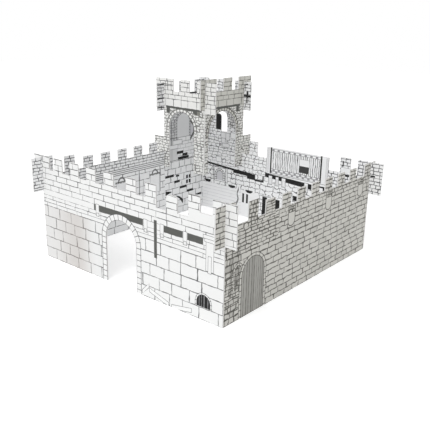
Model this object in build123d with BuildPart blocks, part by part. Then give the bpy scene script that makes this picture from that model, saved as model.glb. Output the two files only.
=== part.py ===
from build123d import *
import os

# A toy castle that slots together from six flat sheets of die-cut card.
# Millimetres. The origin is on the floor, under the middle of the castle's bounding box.
# X runs along the front wall to the right, Y from the front wall to the back wall, Z up.

# The card and its slots
card = 3.0
slot_play = 0.3

# Plan, between the middles of the sheets that cross
castle_width = 600.0
castle_depth = 627.0
tower_width = 162.0
tower_depth = 184.0

# How far the sheets run past the ones that they cross
wall_reach = 31.0
back_wall_reach = 37.0
shoulder_reach = 40.0

# Front wall
front_underside = 181.0
front_crenel = 239.0
front_top = 273.0
front_merlon = 32.0
front_pitch = 63.0
front_merlons_each_side = 4
gate_gap = 75.0
gate_shift = -7.5
gate_half_width = 52.0
gate_spring = 113.0
broken_merlon = 2
broken_notch = 17.0
broken_height = 37.0
broken_round = 9.0

# Side walls
side_crenel = 218.0
side_top = 249.0
side_first_top = 259.0
side_end_top = 268.0
side_merlon = 33.0
side_pitch = 62.0
side_back_reach = 25.0
side_back_merlon = 60.0
right_first_merlon = 93.0
right_merlons = 8
left_first_merlon = 84.0
left_merlons = 6

# Back wall
back_underside = 162.0
back_crenel = 206.0
back_top = 250.0
back_merlon = 32.0
back_first_merlon = 207.0
back_merlon_inset = 75.0
hoarding_start = 258.0
hoarding_end = 473.0
hoarding_top = 242.0

# Tower sides that are one sheet with the left and back walls
rear_underside = 343.0
rear_merlon = 34.0
left_tower_crenel = 388.0
left_tower_top = 425.0
left_tower_front_merlon = 60.0
left_tower_back_merlon = 66.0
left_tower_front_reach = 30.0
left_tower_back_reach = 20.0
back_tower_crenel = 391.0
back_tower_top = 429.0
back_tower_left_merlon = 41.0
back_tower_right_merlon = 63.0
back_tower_left_reach = 20.0
back_tower_right_reach = 27.0
window_middle = 78.5
window_half_width = 22.5
window_sill = 266.0
window_spring = 307.5
lancet_half_width = 10.0
lancet_spring = 311.0

# Tower panels that hang over the left and back walls
panel_foot = 168.0
shoulder_top = 262.0
front_panel_underside = 349.0
front_panel_crenel = 402.0
front_panel_top = 438.0
front_panel_merlon = 34.0
front_panel_corner_merlon = 70.0
front_panel_left_reach = 31.0
front_panel_right_reach = 41.0
front_panel_left_leg = 23.0
front_panel_right_leg = 39.0
front_arch_cover = 5.0
side_panel_underside = 359.0
side_panel_crenel = 408.0
side_panel_top = 445.0
side_panel_merlon = 39.0
side_panel_front_merlon = 70.0
side_panel_back_merlon = 60.0
side_panel_front_reach = 20.0
side_panel_back_reach = 31.0
side_panel_front_leg = 16.0
side_panel_back_leg = 36.0
side_arch_cover = 9.0

# Places of the sheets' middle planes
overall_width = shoulder_reach + castle_width + back_wall_reach
overall_depth = wall_reach + castle_depth + shoulder_reach
left = shoulder_reach - overall_width / 2
right = left + castle_width
front = wall_reach - overall_depth / 2
back = front + castle_depth
tower_x = left + tower_width
tower_y = back - tower_depth

# A slot is a little wider than the card, and an edge that butts a sheet stops as far from it
slot = card + slot_play
butt = slot / 2
wall_tops = (front_top, side_end_top, back_top)
tower_tops = (left_tower_top, back_tower_top, front_panel_top, side_panel_top)
highest = max(wall_tops + tower_tops)


def upright(low, high, bottom, top, mode=Mode.ADD):
    """A rectangle between two distances along the sheet and two heights."""
    with Locations(((low + high) / 2, (bottom + top) / 2)):
        Rectangle(high - low, top - bottom, mode=mode)


def merlon(middle, width, crenel, top):
    upright(middle - width / 2, middle + width / 2, crenel, top)


def tower_band(low, high, heights, low_merlon, middle_merlon, high_merlon):
    """The band that crowns a tower side, with a merlon at each end and one halfway between them."""
    underside, crenel, top = heights
    gap_start, gap_end = low + low_merlon, high - high_merlon
    upright(low, high, underside, crenel)
    upright(low, gap_start, crenel, top)
    upright(gap_end, high, crenel, top)
    merlon((gap_start + gap_end) / 2, middle_merlon, crenel, top)


def slot_from_above(middle, depth_to, mouth=highest):
    upright(middle - slot / 2, middle + slot / 2, depth_to, mouth, mode=Mode.SUBTRACT)


def slot_from_below(middle, depth_to, mouth=0):
    upright(middle - slot / 2, middle + slot / 2, mouth, depth_to, mode=Mode.SUBTRACT)


def round_arch(middle, half_width, bottom, spring, mode=Mode.SUBTRACT):
    """A round-headed opening, or the tongue of card that closes one."""
    upright(middle - half_width, middle + half_width, bottom, spring, mode=mode)
    with Locations((middle, spring)):
        Circle(half_width, mode=mode)


def arch_between(left_jamb, right_jamb, crown):
    """The opening between the two legs of a tower panel."""
    half_width = (right_jamb - left_jamb) / 2
    round_arch(left_jamb + half_width, half_width, panel_foot, crown - half_width)


def across(y):
    """The plane of a sheet that runs from left to right."""
    return Plane.XZ.offset(-y)


def along(x):
    """The plane of a sheet that runs from front to back."""
    return Plane.YZ.offset(x)


# Half-depth laps: the height at which the two slots of a crossing meet
front_lap = (front_underside + side_end_top) / 2
back_lap = (back_underside + side_top) / 2
rear_lap = (rear_underside + left_tower_top) / 2
front_panel_lap = (front_panel_underside + left_tower_top) / 2
side_panel_lap = (side_panel_underside + back_tower_top) / 2
tower_corner_lap = (side_panel_underside + front_panel_top) / 2
left_shoulder_lap = (panel_foot + side_crenel) / 2
back_shoulder_lap = (panel_foot + back_crenel) / 2

# Front wall, with the gate and one broken merlon
gate_x = (left + right) / 2 + gate_shift
with BuildPart() as front_wall:
    with BuildSketch(across(front)):
        upright(left - card / 2, right + card / 2, 0, front_underside)
        upright(left - wall_reach, right + wall_reach, front_underside, front_crenel)
        for corner in (left, right):
            merlon(corner, 2 * wall_reach, front_crenel, front_top)
        for step in range(front_merlons_each_side):
            reach = gate_gap / 2 + step * front_pitch
            merlon(gate_x - reach, front_merlon, front_crenel, front_top)
            if step != broken_merlon:
                merlon(gate_x + reach, front_merlon, front_crenel, front_top)
        broken_x = gate_x + gate_gap / 2 + broken_merlon * front_pitch
        notch_reach = front_pitch - front_merlon / 2
        notch_floor = front_crenel - broken_notch
        upright(broken_x - notch_reach, broken_x + notch_reach, notch_floor, front_crenel, mode=Mode.SUBTRACT)
        with Locations((broken_x, notch_floor + broken_height / 2)):
            RectangleRounded(front_merlon, broken_height, broken_round)
        merlon(broken_x, front_merlon, notch_floor, notch_floor + broken_height / 2)
        round_arch(gate_x, gate_half_width, 0, gate_spring)
        for corner in (left, right):
            slot_from_above(corner, front_lap)
    extrude(amount=card / 2, both=True)
front_wall.part.label = "front_wall"


def side_wall_outline(first_merlon, merlons):
    """The wall and its battlement, with the slot that drops over the front wall."""
    upright(front + butt, back - butt, 0, side_crenel)
    upright(front - wall_reach, front + butt, front_underside, side_crenel)
    merlon(front, 2 * wall_reach, side_crenel, side_end_top)
    for step in range(merlons):
        top = side_first_top if step == 0 else side_top
        merlon(front + first_merlon + step * side_pitch, side_merlon, side_crenel, top)
    slot_from_below(front, front_lap)


# Right wall
with BuildPart() as right_wall:
    with BuildSketch(along(right)):
        side_wall_outline(right_first_merlon, right_merlons)
        side_back_end = back + side_back_reach
        upright(back - butt, side_back_end, back_underside, side_crenel)
        upright(side_back_end - side_back_merlon, side_back_end, side_crenel, side_top)
        slot_from_below(back, back_lap)
    extrude(amount=card / 2, both=True)
right_wall.part.label = "right_wall"

# Left wall, which rises at the back into the tower's left side
with BuildPart() as left_wall:
    with BuildSketch(along(left)):
        side_wall_outline(left_first_merlon, left_merlons)
        upright(tower_y + butt, back - butt, side_crenel, rear_underside)
        tower_band(
            tower_y - left_tower_front_reach, back + left_tower_back_reach,
            (rear_underside, left_tower_crenel, left_tower_top),
            left_tower_front_merlon, rear_merlon, left_tower_back_merlon)
        slot_from_above(tower_y, left_shoulder_lap, mouth=shoulder_top)
        slot_from_above(tower_y, front_panel_lap)
        slot_from_below(back, rear_lap)
    extrude(amount=card / 2, both=True)
left_wall.part.label = "left_wall"

# Back wall, which rises at the left into the tower's back side
with BuildPart() as back_wall:
    with BuildSketch(across(back)):
        upright(left - card / 2, right + card / 2, 0, back_crenel)
        upright(right + card / 2, right + back_wall_reach, back_underside, back_crenel)
        upright(left - card / 2, tower_x - butt, back_crenel, rear_underside)
        tower_band(
            left - back_tower_left_reach, tower_x + back_tower_right_reach,
            (rear_underside, back_tower_crenel, back_tower_top),
            back_tower_left_merlon, rear_merlon, back_tower_right_merlon)
        merlon(left + back_first_merlon, back_merlon, back_crenel, back_top)
        upright(left + hoarding_start, left + hoarding_end, back_crenel, hoarding_top)
        merlon(right - back_merlon_inset, back_merlon, back_crenel, back_top)
        merlon(right, 2 * back_wall_reach, back_crenel, back_top)
        round_arch(left + window_middle, window_half_width, window_sill, window_spring)
        lancet_x = left + window_middle - window_half_width + lancet_half_width
        round_arch(lancet_x, lancet_half_width, window_sill, lancet_spring, mode=Mode.ADD)
        slot_from_above(left, rear_lap)
        slot_from_above(tower_x, back_shoulder_lap, mouth=shoulder_top)
        slot_from_above(tower_x, side_panel_lap)
        slot_from_above(right, back_lap)
    extrude(amount=card / 2, both=True)
back_wall.part.label = "back_wall"

# Tower front panel: an arch on two legs, hooked over the left wall by its shoulder
with BuildPart() as tower_front_panel:
    with BuildSketch(across(tower_y)):
        upright(left + butt, tower_x + card / 2, panel_foot, front_panel_underside)
        upright(left - shoulder_reach, left + butt, panel_foot, shoulder_top)
        tower_band(
            left - front_panel_left_reach, tower_x + front_panel_right_reach,
            (front_panel_underside, front_panel_crenel, front_panel_top),
            front_panel_corner_merlon, front_panel_merlon, front_panel_corner_merlon)
        front_arch_crown = front_panel_underside - front_arch_cover
        arch_between(left + front_panel_left_leg, tower_x - front_panel_right_leg, front_arch_crown)
        slot_from_below(left, left_shoulder_lap)
        slot_from_below(left, front_panel_lap, mouth=shoulder_top)
        slot_from_above(tower_x, tower_corner_lap)
    extrude(amount=card / 2, both=True)
tower_front_panel.part.label = "tower_front_panel"

# Tower side panel: the same kind of arch, hooked over the back wall and the front panel
with BuildPart() as tower_side_panel:
    with BuildSketch(along(tower_x)):
        upright(tower_y + butt, back - butt, panel_foot, side_panel_underside)
        upright(back - butt, back + shoulder_reach, panel_foot, shoulder_top)
        tower_band(
            tower_y - side_panel_front_reach, back + side_panel_back_reach,
            (side_panel_underside, side_panel_crenel, side_panel_top),
            side_panel_front_merlon, side_panel_merlon, side_panel_back_merlon)
        side_arch_crown = side_panel_underside - side_arch_cover
        arch_between(tower_y + side_panel_front_leg, back - side_panel_back_leg, side_arch_crown)
        slot_from_below(back, back_shoulder_lap)
        slot_from_below(back, side_panel_lap, mouth=shoulder_top)
        slot_from_below(tower_y, tower_corner_lap)
    extrude(amount=card / 2, both=True)
tower_side_panel.part.label = "tower_side_panel"

os.makedirs("parts", exist_ok=True)
sheets = (front_wall, right_wall, left_wall, back_wall, tower_front_panel, tower_side_panel)
for sheet in sheets:
    export_step(sheet.part, f"parts/{sheet.part.label}.step")
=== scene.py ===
import math

import bmesh
import bpy
from mathutils import Matrix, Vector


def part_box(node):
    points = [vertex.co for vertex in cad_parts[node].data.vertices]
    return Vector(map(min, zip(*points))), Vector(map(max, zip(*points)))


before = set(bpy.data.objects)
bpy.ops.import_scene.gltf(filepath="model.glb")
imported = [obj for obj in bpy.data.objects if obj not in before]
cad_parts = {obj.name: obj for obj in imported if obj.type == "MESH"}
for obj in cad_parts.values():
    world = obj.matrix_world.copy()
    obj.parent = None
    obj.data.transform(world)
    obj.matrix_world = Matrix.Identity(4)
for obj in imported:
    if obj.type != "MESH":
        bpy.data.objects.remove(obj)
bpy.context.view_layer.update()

# Front wall. A flat sheet of white corrugated card, 3 mm thick, die-cut with a gate and a
# battlement, and printed in grey line with dressed stone. The side walls drop into its end slots.


def middle_plane(node, axis):
    """Where the middle plane of a sheet lies, in metres."""
    low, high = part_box(node)
    return (low[axis] + high[axis]) / 2


# All print is placed in millimetres, along a sheet from the front left corner of the court, where
# the left wall crosses the front wall, and up from the table.
mm = 1000.0
corner = (middle_plane("left_wall", 0), middle_plane("front_wall", 1))


def crossing(node, axis):
    """Where a sheet crosses the ones that run along an axis, in millimetres from that corner."""
    return round(mm * (middle_plane(node, axis) - corner[axis]), 1)


def fill_in(tree, made, values):
    """Sets the inputs of a node in order, to numbers or from sockets, and gives its outputs."""
    for socket, value in zip(made.inputs, values):
        if isinstance(value, bpy.types.NodeSocket):
            tree.links.new(value, socket)
        elif value is not None:
            socket.default_value = value
    return made.outputs


def add(tree, kind, *values, **settings):
    """Adds a shader node."""
    made = tree.nodes.new("ShaderNode" + kind)
    for name, value in settings.items():
        setattr(made, name, value)
    return fill_in(tree, made, values)


def use(tree, group, *values):
    """Adds a shader node group."""
    made = tree.nodes.new("ShaderNodeGroup")
    made.node_tree = group
    return fill_in(tree, made, values)


def sums(tree):
    """Arithmetic in one tree, as in do("ADD", a, b)."""
    return lambda operation, *values: add(tree, "Math", *values, operation=operation)[0]


def noise(tree, place, scale, detail, dimensions="3D"):
    """Smooth noise at a place: a value and a colour."""
    return add(tree, "TexNoise", place, None, scale, detail, noise_dimensions=dimensions)


def blend(tree, mask, under, over):
    """The first colour where the mask is 0, and the second where it is 1."""
    return add(tree, "Mix", mask, None, None, None, None, None, under, over, data_type="RGBA")[2]


def ramp(tree, value, starts, ends, **settings):
    """Follows a value between two starting places, and gives what lies between two ends."""
    return add(tree, "MapRange", value, *starts, *ends, clamp=False, **settings)[0]


def new_group(name, inputs, outputs):
    """A node group that takes and gives plain numbers, with every length in millimetres."""
    tree = bpy.data.node_groups.new(name, "ShaderNodeTree")
    for label in inputs:
        tree.interface.new_socket(name=label, in_out="INPUT", socket_type="NodeSocketFloat")
    for label in outputs:
        tree.interface.new_socket(name=label, in_out="OUTPUT", socket_type="NodeSocketFloat")
    return tree, tree.nodes.new("NodeGroupInput").outputs, tree.nodes.new("NodeGroupOutput").inputs


def drawn_line(tree, distance, width):
    """A drawn line of that width with a soft edge."""
    do = sums(tree)
    full, faded = do("MULTIPLY", width, 0.35), do("MULTIPLY", width, 0.65)
    return ramp(tree, distance, (full, faded), (1.0, 0.0), interpolation_type="SMOOTHSTEP")


def scattered(tree, number):
    """A number from 0 to 1 that looks random from one whole number to the next."""
    do = sums(tree)
    jumble = 437.585
    return do("FRACT", do("MULTIPLY", do("SINE", number), jumble))


# Stones laid in courses: the lines between them, and a tone for each stone. Every course has its
# own start, the stones in it differ in length, and a slow tremble bends the lines and swells them.
# The steps and turns set one course, and one stone, far from the next in the noise.
course_step, course_turn, drift_step, stone_turn = 78.233, 4.1414, 7.31, 12.9898
tremble_scale, drift_length, drift_share = 0.07, 2.4, 0.9
joint_swell, joint_least, stone_corner = 2.4, -0.2, 1.0
stonework, given, gives = new_group(
    "Stonework", ("Along", "Up", "Foot", "Course", "Length", "Joint", "Wander", "Seed"), ("Line", "Tone"))
do = sums(stonework)
rise = do("SUBTRACT", given["Up"], given["Foot"])
place = add(stonework, "CombineXYZ", given["Along"], rise, given["Seed"])[0]
tremble = add(stonework, "SeparateColor", noise(stonework, place, tremble_scale, 1.0)[1])
up = do("ADD", rise, do("MULTIPLY", do("SUBTRACT", tremble[1], 0.5), given["Wander"]))
row = do("ADD", do("FLOOR", do("DIVIDE", up, given["Course"])), given["Seed"])
shift = scattered(stonework, do("MULTIPLY", row, course_step))
slow = do("DIVIDE", given["Along"], do("MULTIPLY", given["Length"], drift_length))
place = add(stonework, "CombineXYZ", slow, do("MULTIPLY", row, drift_step))[0]
drift = noise(stonework, place, 1.0, 0.0, "2D")[0]
drift = do("ADD", shift, do("MULTIPLY", do("SUBTRACT", drift, 0.5), drift_share))
along = do("ADD", given["Along"], do("MULTIPLY", drift, given["Length"]))
along = do("ADD", along, do("MULTIPLY", do("SUBTRACT", tremble[0], 0.5), given["Wander"]))
to_joint = do("PINGPONG", along, do("MULTIPLY", given["Length"], 0.5))
to_bed = do("PINGPONG", up, do("MULTIPLY", given["Course"], 0.5))
nearest = do("SMOOTH_MIN", to_joint, to_bed, stone_corner)
weight = do("MULTIPLY", given["Joint"], do("MULTIPLY_ADD", tremble[2], joint_swell, joint_least))
stonework.links.new(drawn_line(stonework, nearest, weight), gives["Line"])
stone = do("FLOOR", do("DIVIDE", along, given["Length"]))
stone = do("MULTIPLY_ADD", stone, stone_turn, do("MULTIPLY", row, course_turn))
stonework.links.new(scattered(stonework, stone), gives["Tone"])

# A rectangle: all of it, and a line round it.
panel, given, gives = new_group(
    "Panel", ("Along", "Up", "Left", "Right", "Bottom", "Top", "Line"), ("Inside", "Edge"))
do = sums(panel)
past_left = do("SUBTRACT", given["Left"], given["Along"])
past_right = do("SUBTRACT", given["Along"], given["Right"])
past_bottom = do("SUBTRACT", given["Bottom"], given["Up"])
past_top = do("SUBTRACT", given["Up"], given["Top"])
outside = do("MAXIMUM", do("MAXIMUM", past_left, past_right), do("MAXIMUM", past_bottom, past_top))
panel.links.new(do("LESS_THAN", outside, 0.0), gives["Inside"])
panel.links.new(drawn_line(panel, do("ABSOLUTE", outside), given["Line"]), gives["Edge"])

# A round-headed opening with a ring of shaped stones round it.
wedge_corner = 1.5
arch, given, gives = new_group(
    "Arch", ("Along", "Up", "Middle", "Half", "Foot", "Spring", "Ring", "Stone", "Line"),
    ("Opening", "Ring", "Joint"))
do = sums(arch)
aside = do("ABSOLUTE", do("SUBTRACT", given["Along"], given["Middle"]))
rise = do("SUBTRACT", given["Up"], given["Spring"])
climb = do("MAXIMUM", rise, 0.0)
reach = do("SQRT", do("ADD", do("MULTIPLY", aside, aside), do("MULTIPLY", climb, climb)))
outside = do("SUBTRACT", reach, given["Half"])
above_foot = do("GREATER_THAN", given["Up"], given["Foot"])
opening = do("MULTIPLY", do("LESS_THAN", outside, 0.0), above_foot)
covered = do("MULTIPLY", do("LESS_THAN", outside, given["Ring"]), above_foot)
ring = do("SUBTRACT", covered, opening)
ring_middle = do("ADD", given["Half"], do("MULTIPLY", given["Ring"], 0.5))
round_way = do("MULTIPLY", do("ARCTAN2", climb, aside), ring_middle)
crown = do("MULTIPLY", ring_middle, math.pi / 2)
way = do("SUBTRACT", do("ADD", round_way, do("MINIMUM", rise, 0.0)), crown)
half_stone = do("MULTIPLY", given["Stone"], 0.5)
to_joint = do("PINGPONG", do("ADD", way, half_stone), half_stone)
to_rim = do("MINIMUM", do("ABSOLUTE", outside), do("ABSOLUTE", do("SUBTRACT", outside, given["Ring"])))
nearest = do("SMOOTH_MIN", to_joint, to_rim, wedge_corner)
arch.links.new(opening, gives["Opening"])
arch.links.new(ring, gives["Ring"])
near_ring = do("MULTIPLY", do("LESS_THAN", outside, do("ADD", given["Ring"], given["Line"])), above_foot)
near_ring = do("MULTIPLY", near_ring, do("GREATER_THAN", outside, do("MULTIPLY", given["Line"], -1.0)))
arch.links.new(do("MULTIPLY", drawn_line(arch, nearest, given["Line"]), near_ring), gives["Joint"])

# Card stock: the tone of the paper facing, its fine fibres and the faint ribs of the flutes behind
# it, and the flutes themselves where the sheet is cut. The wavy middle layer swings a millimetre to
# each side of the sheet's middle, once in every pitch, between the two plain layers.
flute_pitch, flute_half, inner_half = 7.0, 0.3, 1.15
fibre_scale, cloud_scale = 0.8, 0.012
fibre_share, cloud_share, cloud_shade = 0.4, 0.6, 0.95
fibre_relief, flute_relief = 0.05, 0.012
bump_strength, bump_height, paper_skin = 0.5, 0.001, 0.05
stock, given, gives = new_group("Card stock", ("Along", "Up", "Across"), ("Tone", "Relief", "Flute"))
do = sums(stock)
place = add(stock, "CombineXYZ", given["Along"], given["Up"], given["Across"])[0]
fibre = noise(stock, place, fibre_scale, 3.0)[0]
cloud = noise(stock, place, cloud_scale, 2.0)[0]
wave = do("SINE", do("MULTIPLY", given["Along"], 2 * math.pi / flute_pitch))
tone = do("ADD", do("MULTIPLY", fibre, fibre_share), do("MULTIPLY", cloud, cloud_share))
stock.links.new(tone, gives["Tone"])
relief = do("ADD", do("MULTIPLY", fibre, fibre_relief), do("MULTIPLY", wave, flute_relief))
stock.links.new(relief, gives["Relief"])
off_wave = do("GREATER_THAN", do("ABSOLUTE", do("SUBTRACT", given["Across"], wave)), flute_half)
within_sheet = do("LESS_THAN", do("ABSOLUTE", given["Across"]), inner_half)
stock.links.new(do("MULTIPLY", off_wave, within_sheet), gives["Flute"])

white_card = (0.915, 0.92, 0.915, 1)
# The card's inner side: painted light, a little lighter than the outer white to offset the shade in the
# court, and cool like that shade
lightened_cool_card = (0.93, 0.935, 0.94, 1)
cut_edge = (0.88, 0.88, 0.87, 1)
flute_shade = (0.62, 0.61, 0.60, 1)
ink = (0.11, 0.11, 0.115, 1)
grey_ink = (0.33, 0.33, 0.34, 1)
slate = (0.105, 0.108, 0.10, 1)
black = (0.012, 0.012, 0.012, 1)
# A brown for painted shadow with a warm tint in it, at the left of the front wall
shadow_and_tint_brown = (0.34, 0.26, 0.21, 1)

# The print runs on past the ends of a sheet. A plank or a bar is a stone taller than any sheet, and
# an opening with a plain rim has a ring as thin as a hair, of stones too long to show a joint.
before_sheet, past_sheet = -40, 660
below_sheet, above_sheet = -10, 460
whole_sheet = (-60, 720, below_sheet, above_sheet)
plank_height = 900
hair, endless = 0.1, 200.0


class Face:
    """The print on one face of a sheet. Each call lays ink over what is there already."""

    def __init__(self, tree, along, up, paper):
        self.tree = tree
        self.along = along
        self.up = up
        self.paper = paper
        self.colour = paper
        self.do = sums(tree)

    def lay(self, mask, colour):
        """Lays a colour over what the mask covers."""
        self.colour = blend(self.tree, mask, self.colour, colour)

    def within(self, zone):
        """A mask of a zone: its left, right, bottom and top, or a mask already."""
        if isinstance(zone, tuple):
            return use(self.tree, panel, self.along, self.up, *zone, hair)[0]
        return zone

    def clear(self, *zone):
        """Leaves a zone unprinted."""
        self.lay(self.within(zone), self.paper)

    def wash(self, zone, strength, colour=ink):
        """A flat tint."""
        self.lay(self.do("MULTIPLY", self.within(zone), strength), colour)

    def stones(self, zone, course, length, joint=1.0, wander=2.0, seed=0.0, colour=ink, mottle=0.0):
        """Courses of stones laid from the bottom of a zone; mottle greys some more than others."""
        foot = zone[2] if isinstance(zone, tuple) else 0.0
        zone = self.within(zone)
        line, tone = use(
            self.tree, stonework, self.along, self.up, foot, course, length, joint, wander, seed)
        if mottle:
            self.wash(self.do("MULTIPLY", self.do("POWER", tone, 2.0), zone), mottle, colour)
        self.lay(self.do("MULTIPLY", line, zone), colour)

    def dashes(self, zone, start, period, gap, colour=ink):
        """Upright bars a gap wide, evenly spaced from a starting place."""
        to_bar = self.do("PINGPONG", self.do("SUBTRACT", self.along, start), period / 2)
        self.lay(self.do("MULTIPLY", self.do("LESS_THAN", to_bar, gap / 2), self.within(zone)), colour)

    def box(self, left, right, bottom, top, fill=None, line=0.9, colour=ink):
        """A rectangle, either filled or outlined on bare card."""
        inside, edge = use(self.tree, panel, self.along, self.up, left, right, bottom, top, line)
        self.lay(inside, fill or self.paper)
        if fill is None:
            self.lay(edge, colour)

    def bar(self, left, right, height, half, fill=ink):
        """A level bar, half its thickness to each side of a height."""
        self.box(left, right, height - half, height + half, fill=fill)

    def slant(self, left, right, bottoms, tops, fill=black):
        """A flat shape whose lower and upper edges run straight between the heights at its two ends."""
        bottom = ramp(self.tree, self.along, (left, right), bottoms)
        top = ramp(self.tree, self.along, (left, right), tops)
        above, below = self.do("GREATER_THAN", self.up, bottom), self.do("LESS_THAN", self.up, top)
        between = self.do("MULTIPLY", above, below)
        self.lay(self.do("MULTIPLY", between, self.within((left, right, below_sheet, above_sheet))), fill)

    def round_head(self, middle, half, foot, spring, ring, stone, line=1.0, fill=None, colour=ink):
        """A round-headed opening in its ring of stones; gives a mask of the opening."""
        opening, around, joint = use(
            self.tree, arch, self.along, self.up, middle, half, foot, spring, ring, stone, line)
        self.lay(around, self.paper)
        if fill:
            self.lay(opening, fill)
        self.lay(joint, colour)
        return opening

    def tongue(self, middle, half, bottom, top, line=1.2, colour=ink):
        """A hanging slab with a round lower end: a round-headed opening turned upside down."""
        hung = self.do("MULTIPLY", self.up, -1.0)
        opening, around, joint = use(
            self.tree, arch, self.along, hung, middle, half, -top, -bottom - half, hair, endless, line)
        self.lay(opening, self.paper)
        self.lay(joint, colour)


def printed_card(node, runs, lower_side, upper_side):
    """Prints a sheet that runs along X or Y: for each side, a function that draws and a card.

    The lower side faces the front or the left of the castle.
    """
    axis = "XY".index(runs)
    through = 1 - axis
    low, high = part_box(node)
    material = bpy.data.materials.new(node + "_card")
    material.use_nodes = True
    tree = material.node_tree
    tree.nodes.clear()
    do = sums(tree)
    place = add(tree, "SeparateXYZ", add(tree, "TexCoord")["Object"])
    along = do("MULTIPLY_ADD", place[axis], mm, -mm * corner[axis])
    across = do("MULTIPLY_ADD", place[through], mm, -mm * middle_plane(node, through))
    up = do("MULTIPLY", place[2], mm)
    tone, relief, flute = use(tree, stock, along, up, across)
    faces = []
    for draw, card in (lower_side, upper_side):
        clouded = tuple(cloud_shade * part for part in card[:3]) + (1,)
        face = Face(tree, along, up, blend(tree, tone, card, clouded))
        draw(face)
        faces.append(face.colour)
    printed = blend(tree, do("GREATER_THAN", across, 0.0), *faces)
    cut = blend(tree, flute, cut_edge, flute_shade)
    # What lies deeper than the skin of the paper is a cut edge
    face_depth = mm * (high[through] - low[through]) / 2 - paper_skin
    on_face = do("GREATER_THAN", do("ABSOLUTE", across), face_depth)
    shader = tree.nodes.new("ShaderNodeBsdfPrincipled")
    tree.links.new(blend(tree, on_face, cut, printed), shader.inputs["Base Color"])
    bump = add(tree, "Bump", bump_strength, bump_height, None, relief)[0]
    tree.links.new(bump, shader.inputs["Normal"])
    shader.inputs["Roughness"].default_value = 0.68
    shader.inputs["Specular IOR Level"].default_value = 0.3
    output = tree.nodes.new("ShaderNodeOutputMaterial")
    tree.links.new(shader.outputs["BSDF"], output.inputs["Surface"])
    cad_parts[node].material_slots[0].material = material


def plain_courses(face):
    """Pale courses, for a face that the photograph doesn't show."""
    face.stones(whole_sheet, 14.3, 42, seed=21, colour=grey_ink)


def front_outside(face):
    """Dressed stone, the ring of the gate, a row of recesses, a pilaster and a drain."""
    wall_end = 640
    blocks_top, band_top, bricks_foot, head = 143, 172, 186, 275
    face.stones((before_sheet, wall_end, 0, blocks_top), 28.6, 46, 1.8, wander=3, seed=3)
    face.stones((before_sheet, wall_end, blocks_top, band_top), 9.6, 46, 1.3, seed=11)
    face.stones((before_sheet, wall_end, bricks_foot, head), 14.3, 42, 1.5, seed=5)
    # Long flat stones, dark recesses and the corbels between them
    for left, right in ((151, 238), (350, 545)):
        face.box(left, right, 143.5, 153)
    for left, right in ((200, 206), (218, 368), (430, 488), (501, 545)):
        face.box(left, right, 172, 187, fill=slate)
    for left in (207, 370, 421, 489):
        face.box(left, left + 11, 158, 188)
        face.box(left + 2, left + 9, 158, 166)
    gate_middle, gate_half, gate_spring, gate_ring = 292.5, 52, 113, 14.5
    face.round_head(gate_middle, gate_half, below_sheet, gate_spring, gate_ring, gate_ring, line=1.5)
    # A dark slot, a stepped pilaster and a bare plate over it
    face.box(402, 411, 104, 193, fill=slate)
    face.box(553, 574, 116, 188)
    face.box(559, 568, 112, 150)
    face.box(549, 578, 180, 188)
    face.box(545, 582, 187, 195)
    face.clear(505, 575, 215, 243)
    drain = face.round_head(548, 19, 30, 40, 4, 9, fill=black)
    face.stones(drain, plank_height, 8, 1.4, wander=0, colour=grey_ink)
    # Three tilted slabs at the foot, outlined on bare card
    slab_thickness, slab_line = 11, 1
    for left, right, low, high in ((362, 385, 4, 25), (385, 447, 15, -2), (455, 515, -4, 6)):
        for inset, fill in ((0, ink), (slab_line, white_card)):
            bottoms = (low + inset, high + inset)
            tops = (low + slab_thickness - inset, high + slab_thickness - inset)
            face.slant(left + inset, right - inset, bottoms, tops, fill=fill)
    # Painted shadow of the horse figure that stands in front at the left, partly a warm tint too:
    # a faint grey wash, and a brown one that is warmest near the gate
    shadow_and_tint_zone = (before_sheet, 227, below_sheet, blocks_top)
    face.wash(shadow_and_tint_zone, 0.08, grey_ink)
    rising = ramp(face.tree, face.along, (20, 130), (0.3, 1), interpolation_type="SMOOTHSTEP")
    falling = ramp(face.tree, face.along, (130, 205), (0.32, 0), interpolation_type="SMOOTHSTEP")
    face.wash(shadow_and_tint_zone, face.do("MULTIPLY", rising, falling), shadow_and_tint_brown)


printed_card("front_wall", "X", (front_outside, white_card), (plain_courses, lightened_cool_card))

# Right wall. The same card, printed outside with courses of weathered stone, a planked door and
# hanging slabs, its outside darker and warmer with painted shade. Its end slots drop over the front
# and back walls.

# The right wall's outside card: white card darkened and warmed as painted shade of that side
shaded_side_card = (0.67, 0.66, 0.62, 1)
weathered_ink = (0.10, 0.097, 0.085, 1)
door_wood = (0.40, 0.395, 0.37, 1)


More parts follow.
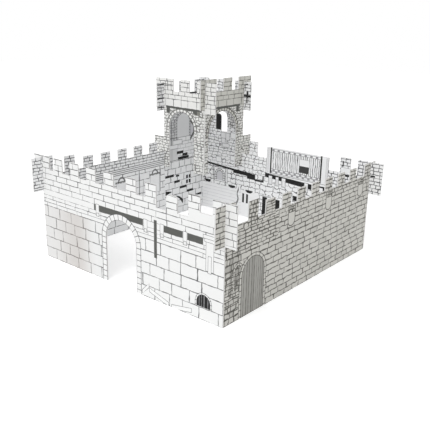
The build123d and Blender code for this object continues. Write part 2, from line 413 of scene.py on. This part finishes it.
def right_outside(face):
    """Weathered courses, a niche, a planked door and three hanging slabs."""
    blocks_top, bricks_foot, head = 150, 205, 275
    for left, right, bottom, top, course, length, joint in (
            (before_sheet, 72, bricks_foot, head, 10.4, 28, 2.2),
            (72, 114, bricks_foot, head, 9, 11, 2.8),
            (114, 175, bricks_foot, head, 6.5, 24, 2.0),
            (175, 380, bricks_foot, head, 10, 25, 2.4),
            (380, past_sheet, bricks_foot, head, 9.5, 21, 2.5),
            (before_sheet, 190, blocks_top, bricks_foot, 8.4, 21, 2.3),
            (190, past_sheet, blocks_top, bricks_foot, 11.5, 33, 2.2),
            (before_sheet, past_sheet, 0, blocks_top, 13.6, 36, 2.3)):
        face.stones((left, right, bottom, top), course, length, joint, wander=5, seed=left + top,
                    colour=weathered_ink, mottle=0.14)
    # The near corner, in larger and darker stones with a dark streak: painted shade of the corner by
    # the front wall's end, over the print
    face.stones((2, 52, 0, 165), 15, 18, 2.4, wander=8, seed=33, colour=weathered_ink, mottle=0.3)
    face.wash((17, 26, 60, 150), 0.35, weathered_ink)
    # A niche, and the door in its plain surround
    niche = face.round_head(46, 11, 72, 116, 5, 9, line=1.4, colour=weathered_ink)
    face.wash(niche, 0.35, weathered_ink)
    door_middle, door_half, door_spring, surround = 100, 41, 92, 7
    door = face.round_head(door_middle, door_half, below_sheet, door_spring, surround, 15, line=1.6,
                           fill=door_wood, colour=weathered_ink)
    face.stones(door, plank_height, 8.5, 1.4, seed=2, colour=weathered_ink, mottle=0.3)
    slab_half = 14
    for slab in (241, 408, 575):
        face.tongue(slab, slab_half, 166, 214, line=2.2, colour=weathered_ink)
        face.stones((slab - slab_half, slab + slab_half, 198, 213), 7, 9, 2.6, wander=5, seed=slab,
                    colour=weathered_ink, mottle=0.5)


printed_card("right_wall", "Y", (plain_courses, lightened_cool_card), (right_outside, shaded_side_card))

# Left wall. One sheet that rises at the back into the tower's left side. Inside the court it is
# printed with small bricks, string courses, hooded windows and a flight of steps.

window_grey = (0.79, 0.795, 0.80, 1)
# Painted shade of the front panel's arch edge on the wall behind it
arch_shade_grey = (0.66, 0.66, 0.69, 1)
tower_front = crossing("tower_front_panel", 1)
landing, crown_top = 179, 430


def left_court(face):
    """Small bricks over string courses and plain stone, with windows and steps."""
    blocks_top, string_foot, bricks_foot, head = 163, 174, 190, 275
    face.stones((before_sheet, tower_front, bricks_foot, head), 8.8, 18, 1.85, wander=3.5, seed=41)
    face.stones((before_sheet, tower_front, blocks_top, string_foot), 11, 42, 1.8, seed=42)
    face.stones((before_sheet, tower_front, 0, blocks_top), 20.4, 52, 1.5, seed=43)
    for string in range(4):
        face.bar(before_sheet, tower_front, string_foot + 5.5 * string, 1)
    face.stones((tower_front, past_sheet, 0, landing), 22, 31, 1.7, wander=4, seed=45)
    for upright in (334, 422):
        face.box(upright - 1.2, upright + 1.2, 92, string_foot, fill=ink)
    # Windows with a hood over a dentilled sill
    for window in (264, 400):
        face.box(window - 20, window + 20, 92, 151, colour=grey_ink)
        face.round_head(window, 10.5, 153, 153, 2, 5, line=1.8)
        face.dashes((window - 24, window + 22, 148, 152), window, 6, 3)
        face.box(window - 24, window + 22, 151, 154, fill=slate)
    # Steps up to the tower, shown by the dark gaps under them, and dark wedges at their foot
    for left, right, height, half in (
            (445, 484, 131, 4), (494, 509, 127, 3), (486, 512, 108.5, 4),
            (513, 544, 86, 4), (546, 577, 68, 4)):
        face.bar(left, right, height, half, fill=black)
    face.slant(446, 473, (71, 77), (85, 80))
    face.slant(589, 618, (47, 42), (49, 50))
    face.slant(497, 514, (58, 47), (62, 55))
    face.slant(512, 528, (47, 28), (56, 44))
    # A crossed window
    face.box(542, 564, 94, 122, fill=black)
    face.box(551, 555, 94, 122, fill=lightened_cool_card)
    face.box(542, 564, 106, 110, fill=lightened_cool_card)


def left_tower(face):
    """The tower's left side, which shows through the arch of the front panel."""
    room_foot, window_sill, room_top, tower_end = 244, 250, 345, 622
    # The crown, with dark joints on its front edge
    face.stones((400, past_sheet, room_top, crown_top), 11, 24, 2.0, wander=5, seed=47)
    face.stones((412, 434, 384, 414), 6, 7, 1.3, wander=4, seed=48, colour=grey_ink)
    for height in (352, 379.5, 419):
        face.bar(400, 441, height, 1.7, fill=black)
    face.box(553, 592, 382.5, 387, fill=black)
    # The room behind the arch, in painted shade that is darkest at the left, with a reveal at the left
    # of its window and, at its right, the painted shade of the front panel's arch edge
    face.stones((tower_front, tower_end, room_foot, room_top), 8, 15, 1.6, wander=3, seed=49,
                colour=grey_ink, mottle=0.3)
    # Painted shade over the room, darkest at the left by the front panel
    face.wash((tower_front, 480, landing, room_top), 0.3)
    face.wash((480, 556, room_foot, room_top), 0.14)
    face.dashes((466, 499, 228, 306), 473, 12.5, 2.4)
    # Painted shade of the front panel's arch edge: a grey strip and dark curves
    face.box(557, 578, room_foot, 303, fill=arch_shade_grey)
    face.slant(554, 579, (300, 275), (307, 284), fill=slate)
    face.box(575, 580, 260, 282, fill=slate)
    face.slant(560, 579, (232, 255), (242, 266), fill=slate)
    face.round_head(527, 29, 251, 297, 4, 9, line=1.6, fill=window_grey)
    # Below the window: a corner in shade, plain stones between two strings, and three dark gaps
    face.wash((480, 504, landing, 232), 0.2)
    face.stones((504, tower_end, landing, window_sill), 11.8, 27, 1.2, seed=46, colour=grey_ink)
    for height in (landing, window_sill):
        face.bar(446, tower_end, height, 0.8)
    for left, right, bottom, top in (
            (466, 503, 216, 229), (504, 540, 236, 250), (540, 560, 236, 250), (480, 522, 229, 243)):
        face.box(left, right, bottom, top, line=1.6, colour=grey_ink)
    face.box(464, 467, landing, 216, fill=grey_ink)
    for left, right, height in ((498, 528, 202), (524, 548, 192.5), (503, 554, 183)):
        face.bar(left, right, height, 4.5, fill=black)


def left_inside(face):
    """The court's side first, then the tower's over it."""
    left_court(face)
    left_tower(face)


printed_card("left_wall", "Y", (plain_courses, lightened_cool_card), (left_inside, lightened_cool_card))

# Back wall. One sheet that rises at the left into the tower's back side, with a cut window there
# and a low planked hoarding on its battlement, printed over rough stone and plain render.

plaster_grey = (0.62, 0.62, 0.64, 1)
worn_card = (0.60, 0.595, 0.56, 1)
pit_black = (0.05, 0.05, 0.05, 1)


def back_stone(face):
    """Rough stone in patches, over plain render."""
    tower_end = 165
    render_top, rubble_top, battlement_top, crown_foot = 88, 152, 255, 343
    face.stones((before_sheet, tower_end, 156, crown_foot), 9.6, 19, 1.45, wander=12, seed=51)
    face.stones((before_sheet, 200, crown_foot, crown_top), 9.6, 18, 1.9, wander=4, seed=59)
    # Painted shade at the top left, in the tower's corner behind the front panel's arch
    face.wash((before_sheet, 32, 252, crown_foot), 0.3)
    pebbles = (98, tower_end, 283, crown_foot)
    face.wash(pebbles, 0.4, worn_card)
    face.stones(pebbles, 8, 10, 2.2, wander=11, seed=60, mottle=0.12)
    for left, right, bottom, top in (
            (76, 96, 244, 262), (96, 111, 239, 262), (79, 94, 228, 244), (84, 111, 216, 228),
            (116, 137, 247, 266), (58, 80, 164, 181), (117, 137, 176, 192)):
        face.box(left, right, bottom, top, line=1.5, colour=grey_ink)
    face.wash((74, 111, 216, 262), 0.1)
    face.box(70, 75, 217, 226, fill=ink)
    face.stones((tower_end, 260, rubble_top, battlement_top), 11, 17, 1.4, wander=13, seed=52)
    face.stones((470, past_sheet, 160, battlement_top), 9.6, 16, 1.9, wander=3, seed=55)
    face.stones((before_sheet, past_sheet, render_top, rubble_top), 15, 23, 1.8, wander=14, seed=54)
    face.clear(200, past_sheet, 0, render_top)
    face.stones((0, tower_end, 0, render_top), 11, 300, 0.9, wander=3, seed=53, colour=plaster_grey)
    # The broken edge of the render
    for left, right, low, high in ((148, 155, 64, 84), (149, 155, 62, 46), (147, 153, 30, 46)):
        face.slant(left, right, (low, high), (low + 13, high + 13), fill=ink)
    face.stones((240, past_sheet, 0, render_top), 18, 30, 1.0, wander=3, seed=57, colour=grey_ink)


def back_court(face):
    """A niche, a long ledge on beams, and the openings in the render."""
    # A blind niche beside a dark joint, with a pilaster strip at its right
    face.box(45.5, 48, 104, 151, fill=ink)
    face.box(52, 98, 99, 145, line=1.3)
    face.round_head(75, 14, 103, 121, 6, 8, line=1.8, fill=plaster_grey)
    face.box(101, 107, 98, 147, line=1.4)
    # A long dark ledge with beams under it
    for left, right, bottoms, tops in (
            (22, 132, (152, 144.5), (158, 151)), (130, 186, (138, 137), (151, 148.5)),
            (186, 218, (128.5, 128.5), (148.5, 145.5)), (216, 250, (126, 126.5), (131.5, 131.5)),
            (255, 422, (147, 137), (159.5, 153))):
        face.slant(left, right, bottoms, tops)
    face.box(246, 251, 127, 147, fill=black)
    for left, right in ((269, 282), (295, 306), (317, 331), (397, 410)):
        face.box(left, right, 126, 154, line=1.4)
        face.box(left + 4, right - 4, 128, 146, colour=grey_ink)
    face.box(425, 465, 149.5, 153.5, fill=black)
    face.box(460, 465, 134, 153, fill=black)
    face.box(303, 322, 105.5, 108, fill=black)
    # Dark vents along the top of the render, each a tray with slanted ends
    foot_half, rim_half, end_rise, depth = 6, 14, 5, 9
    for vent, foot in ((23, 89), (126, 86), (196, 82)):
        tops = (foot + depth, foot + depth)
        face.slant(vent - rim_half, vent - foot_half, (foot + end_rise, foot), tops)
        face.slant(vent - foot_half, vent + foot_half, (foot, foot), tops)
        face.slant(vent + foot_half, vent + rim_half, (foot, foot + end_rise), tops)
    # Slit windows and doors
    face.stones((233, 281, 0, 90), 12, 24, 1.4, seed=58)
    for left, right, bottom, top in (
            (170, 177.5, 47, 77), (185.5, 193, 47, 77),
            (249, 267, 22, 82), (295, 314, 45, 82), (361, 376, 92, 107)):
        face.box(left, right, bottom, top, fill=black)


def hoarding(face):
    """A frame of planks between two posts, with pegs above and below."""
    left_end, right_end = 277, 447
    planks_foot, planks_top = 176, 231
    face.box(258, 473, 160, 243, line=1.3)
    face.stones((left_end, right_end, planks_foot, planks_top), plank_height, 6.6, 1.6, wander=6, seed=4,
                mottle=0.1)
    for low, high, peg in ((231.5, 238, 282), (170.5, 176, 286), (163.5, 169, 277)):
        face.dashes((left_end, right_end, low, high), peg, 19, 8, colour=grey_ink)
        for height in (low, high):
            face.bar(left_end, right_end, height, 0.6, fill=grey_ink)
    for left in (272, 446.5):
        face.box(left, left + 5, 162, 243, fill=black)
    for left in (263, 466):
        face.box(left, left + 3.5, 165, 238, colour=grey_ink)
    # A shutter over a dark hatch
    face.box(376, 410, 200, 222, colour=grey_ink)
    face.box(376, 409, 181.5, 202, fill=pit_black)


def back_inside(face):
    """Stone and render, what stands out from them, and the hoarding."""
    back_stone(face)
    back_court(face)
    hoarding(face)
    # The merlons at the right, with a loophole and a sill
    face.box(512, 545, 204, 221, colour=grey_ink)
    face.box(517, 520.5, 224, 240, fill=black)
    face.box(516, 548, 196.5, 203, fill=black)
    face.box(603, 617, 209.5, 214, fill=black)
    # The tower's back side, with the blind half of its window and a cross loop
    face.round_head(66.5, 11.5, 270, 311, hair, endless, fill=black)
    face.box(161, 192, 383, 389.5, fill=black)
    face.box(172.5, 177.5, 364, 401, fill=black)
    face.slant(150, 178, (412, 421), (415.5, 424.5), fill=ink)


printed_card("back_wall", "X", (back_inside, lightened_cool_card), (plain_courses, lightened_cool_card))

# Tower front panel. A sheet cut to an arch on two legs, hooked over the left wall by its shoulder
# and printed with big blocks over small ones and a ring of wedge-shaped stones.

warm_card = (0.90, 0.90, 0.88, 1)
mortar = (0.24, 0.24, 0.23, 1)
bracket_grey = (0.24, 0.24, 0.215, 1)
tower_side = crossing("tower_side_panel", 0)


def tower_front_outside(face):
    """Pebbled legs and a ring of wedge stones under a band and merlons of dressed stone."""
    print_left, print_right, shoulder = -60, 260, 164
    legs_foot, legs_top, band_foot, shoulder_mid, band_top, head = 160, 352, 357.5, 366, 379.5, 445
    face.stones((print_left, tower_side, legs_foot, legs_top), 8.4, 14, 2.4, wander=11, seed=63,
                colour=mortar, mottle=0.12)
    face.stones((print_left, shoulder, band_foot, band_top), 22, 31, 1.5, seed=61)
    face.stones((print_left, shoulder, band_top, head), 12.7, 27, 1.5, seed=64)
    face.stones((shoulder, print_right, 349, shoulder_mid), 17, 25, 1.6, seed=66)
    face.stones((shoulder, print_right, shoulder_mid, head), 12, 20, 1.6, seed=62)
    face.round_head(73, 50, 288, 294, 9.5, 13, line=3.4, colour=mortar)
    # The shade under the band, with a bracket at each end
    face.box(10, 152, legs_top, band_foot, fill=slate)
    face.box(12, 26, 338, 353, fill=slate)
    face.box(122, 146, 341, 353, fill=bracket_grey)
    face.slant(118, 134, (347, 341), (353, 353), fill=slate)
    # Bold joints on the left merlons
    joint_width = 2
    for ends, heights in (((-31, 4), (414, 421)), ((4, 40), (421, 419))):
        face.slant(*ends, heights, (heights[0] + joint_width, heights[1] + joint_width), fill=ink)
    face.box(16, 18, 404, 434, fill=ink)


def tower_courses(face):
    """Pale courses, for the inner faces of the tower."""
    face.stones(whole_sheet, 12, 24, seed=65, colour=grey_ink)


printed_card("tower_front_panel", "X", (tower_front_outside, warm_card), (tower_courses, lightened_cool_card))

# Tower side panel. The same kind of arch, hooked over the back wall by its shoulder and over the
# front panel by a slot in its band, printed like the outer right side and darkened like it with
# painted shade.

# The tower side's outside card: darkened and warmed as painted shade, like the right wall's
shaded_tower_card = (0.64, 0.635, 0.59, 1)


def tower_side_outside(face):
    """The same stonework as on the front panel, darker on card in painted shade, and over painted light
    on its legs.
    """
    print_left, print_right, shoulder = 400, 720, 446
    legs_foot, legs_top, band_foot, band_top, head = 160, 360, 363, 382.5, 450
    # Painted light on the legs: pale washes, as from light thrown up by the court
    face.wash((print_left, print_right, legs_foot, 358), 0.6, warm_card)
    face.wash((440, 476, 100, 235), 0.5, warm_card)
    face.stones((print_left, print_right, legs_foot, legs_top), 8.4, 14, 1.85, wander=12, seed=73,
                colour=weathered_ink, mottle=0.1)
    face.stones((shoulder, print_right, band_foot, band_top), 19.5, 36, 1.7, seed=71,
                colour=weathered_ink)
    face.stones((shoulder, print_right, band_top, head), 12.6, 28, 1.7, seed=75, colour=weathered_ink)
    face.stones((print_left, shoulder, 359, head), 12, 20, 1.7, seed=72, colour=weathered_ink)
    face.round_head(525, 66, 278, 284, 9.5, 12, line=3, colour=weathered_ink)
    # The shade under the band, with a bracket at the right
    face.box(490, 606, 357.5, 363.5, fill=slate)
    face.box(588, 602, 341, 358, fill=slate)


printed_card("tower_side_panel", "Y", (tower_courses, lightened_cool_card), (tower_side_outside, shaded_tower_card))

# The studio. A white table top that keeps the castle's shadow, a white room, and one large soft
# lamp that shines down on the front wall from the camera's left.

white = (1, 1, 1, 1)
table_half = 6
floor_mesh = bpy.data.meshes.new("table_top")
square = bmesh.new()
bmesh.ops.create_grid(square, x_segments=1, y_segments=1, size=table_half)
square.to_mesh(floor_mesh)
square.free()
floor = bpy.data.objects.new("table_top", floor_mesh)
bpy.context.scene.collection.objects.link(floor)

table_glow = 0.3
table_white = bpy.data.materials.new("table_white")
table_white.use_nodes = True
tree = table_white.node_tree
ray = add(tree, "LightPath")
surface = tree.nodes["Principled BSDF"]
surface.inputs["Base Color"].default_value = (0.95, 0.95, 0.95, 1)
surface.inputs["Roughness"].default_value = 0.9
surface.inputs["Specular IOR Level"].default_value = 0.0
surface.inputs["Emission Color"].default_value = white
glow = sums(tree)("MULTIPLY", ray["Is Camera Ray"], table_glow)
tree.links.new(glow, surface.inputs["Emission Strength"])
floor_mesh.materials.append(table_white)

room_light = 0.68
world = bpy.data.worlds.new("white_room")
bpy.context.scene.world = world
world.use_nodes = True
tree = world.node_tree
tree.nodes.clear()
do = sums(tree)
ray = add(tree, "LightPath")
seen = do("MAXIMUM", ray["Is Camera Ray"], ray["Is Glossy Ray"])
seen = do("MAXIMUM", seen, ray["Is Transmission Ray"])
lit = add(tree, "Background", white, room_light)[0]
shown = add(tree, "Background", white, 1.0)[0]
mixed = add(tree, "MixShader", seen, lit, shown)[0]
output = tree.nodes.new("ShaderNodeOutputWorld")
tree.links.new(mixed, output.inputs[0])

lamp = bpy.data.lights.new("soft_lamp", "SUN")
lamp.energy = 1.12
lamp.angle = math.radians(40)
lamp_object = bpy.data.objects.new("soft_lamp", lamp)
bpy.context.scene.collection.objects.link(lamp_object)
lamp_object.rotation_euler = (math.radians(42), 0, math.radians(12))

# The camera. It stands in front at the right and looks a little down; its place in metres, its
# turns in radians and its lens in millimetres were fitted to the photograph's corners and edges.

camera_place = (1.01993, -1.22162, 0.62361)
turn_left, look_down, roll = 0.6893, 0.315, 0.0215
camera = bpy.data.cameras.new("camera")
camera.lens = 51.745
camera_object = bpy.data.objects.new("camera", camera)
bpy.context.scene.collection.objects.link(camera_object)
camera_object.matrix_world = (
    Matrix.Translation(camera_place)
    @ Matrix.Rotation(turn_left, 4, "Z")
    @ Matrix.Rotation(math.pi / 2 - look_down, 4, "X")
    @ Matrix.Rotation(roll, 4, "Z"))
bpy.context.scene.camera = camera_object
bpy.context.scene.view_settings.view_transform = "Standard"
